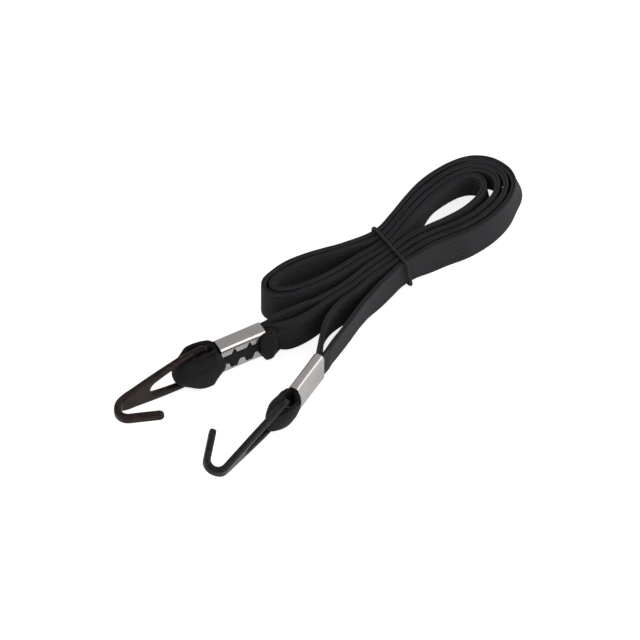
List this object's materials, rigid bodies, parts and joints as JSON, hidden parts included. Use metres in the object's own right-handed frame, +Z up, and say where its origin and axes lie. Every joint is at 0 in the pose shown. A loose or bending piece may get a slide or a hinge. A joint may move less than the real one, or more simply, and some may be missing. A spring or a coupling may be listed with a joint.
{
  "type": "elastic luggage strap",
  "caption": "Flat elastic tie-down strap, used doubled, with a plate hook crimped on at each end, folded into a hank and held by a rubber ring.",
  "frame": {"origin": "on the surface the part lies on, under the middle of its box", "axes": "+X along the hank, away from the hooks; +Y to the hank's far side, where the folds bulge; +Z up from the surface"},
  "size_m": [0.2042, 0.1, 0.0186],
  "materials": {
    "elastic": "woven elastic webbing, near black, ribbed along its length",
    "ferrule_steel": "bright satin sheet steel",
    "coated_steel": "glossy black dip coating over plate steel",
    "ring_rubber": "dull black rubber"
  },
  "bodies": {
    "strap": {"strand_outer": "elastic", "strand_inner": "elastic", "eye_loop_a_outer": "elastic", "eye_loop_a_inner": "elastic", "eye_loop_b": "elastic", "ferrule_a": "ferrule_steel", "ferrule_b": "ferrule_steel", "rubber_ring": "ring_rubber"},
    "hook_a": {"hook_a": "coated_steel"},
    "hook_b": {"hook_b": "coated_steel"}
  },
  "joints": [
    {"name": "hook_a_swing", "type": "hinge", "parent": "strap", "child": "hook_a", "pos_m": [-0.05685, 0.00673, 0.0099], "axis": [-0.0331, -0.0026, 0.9995], "range_deg": [-18, 12]},
    {"name": "hook_b_swing", "type": "hinge", "parent": "strap", "child": "hook_b", "pos_m": [-0.0424, -0.03087, 0.00888], "axis": [0.1456, -0.273, 0.9509], "range_deg": [-18, 8]}
  ]
}
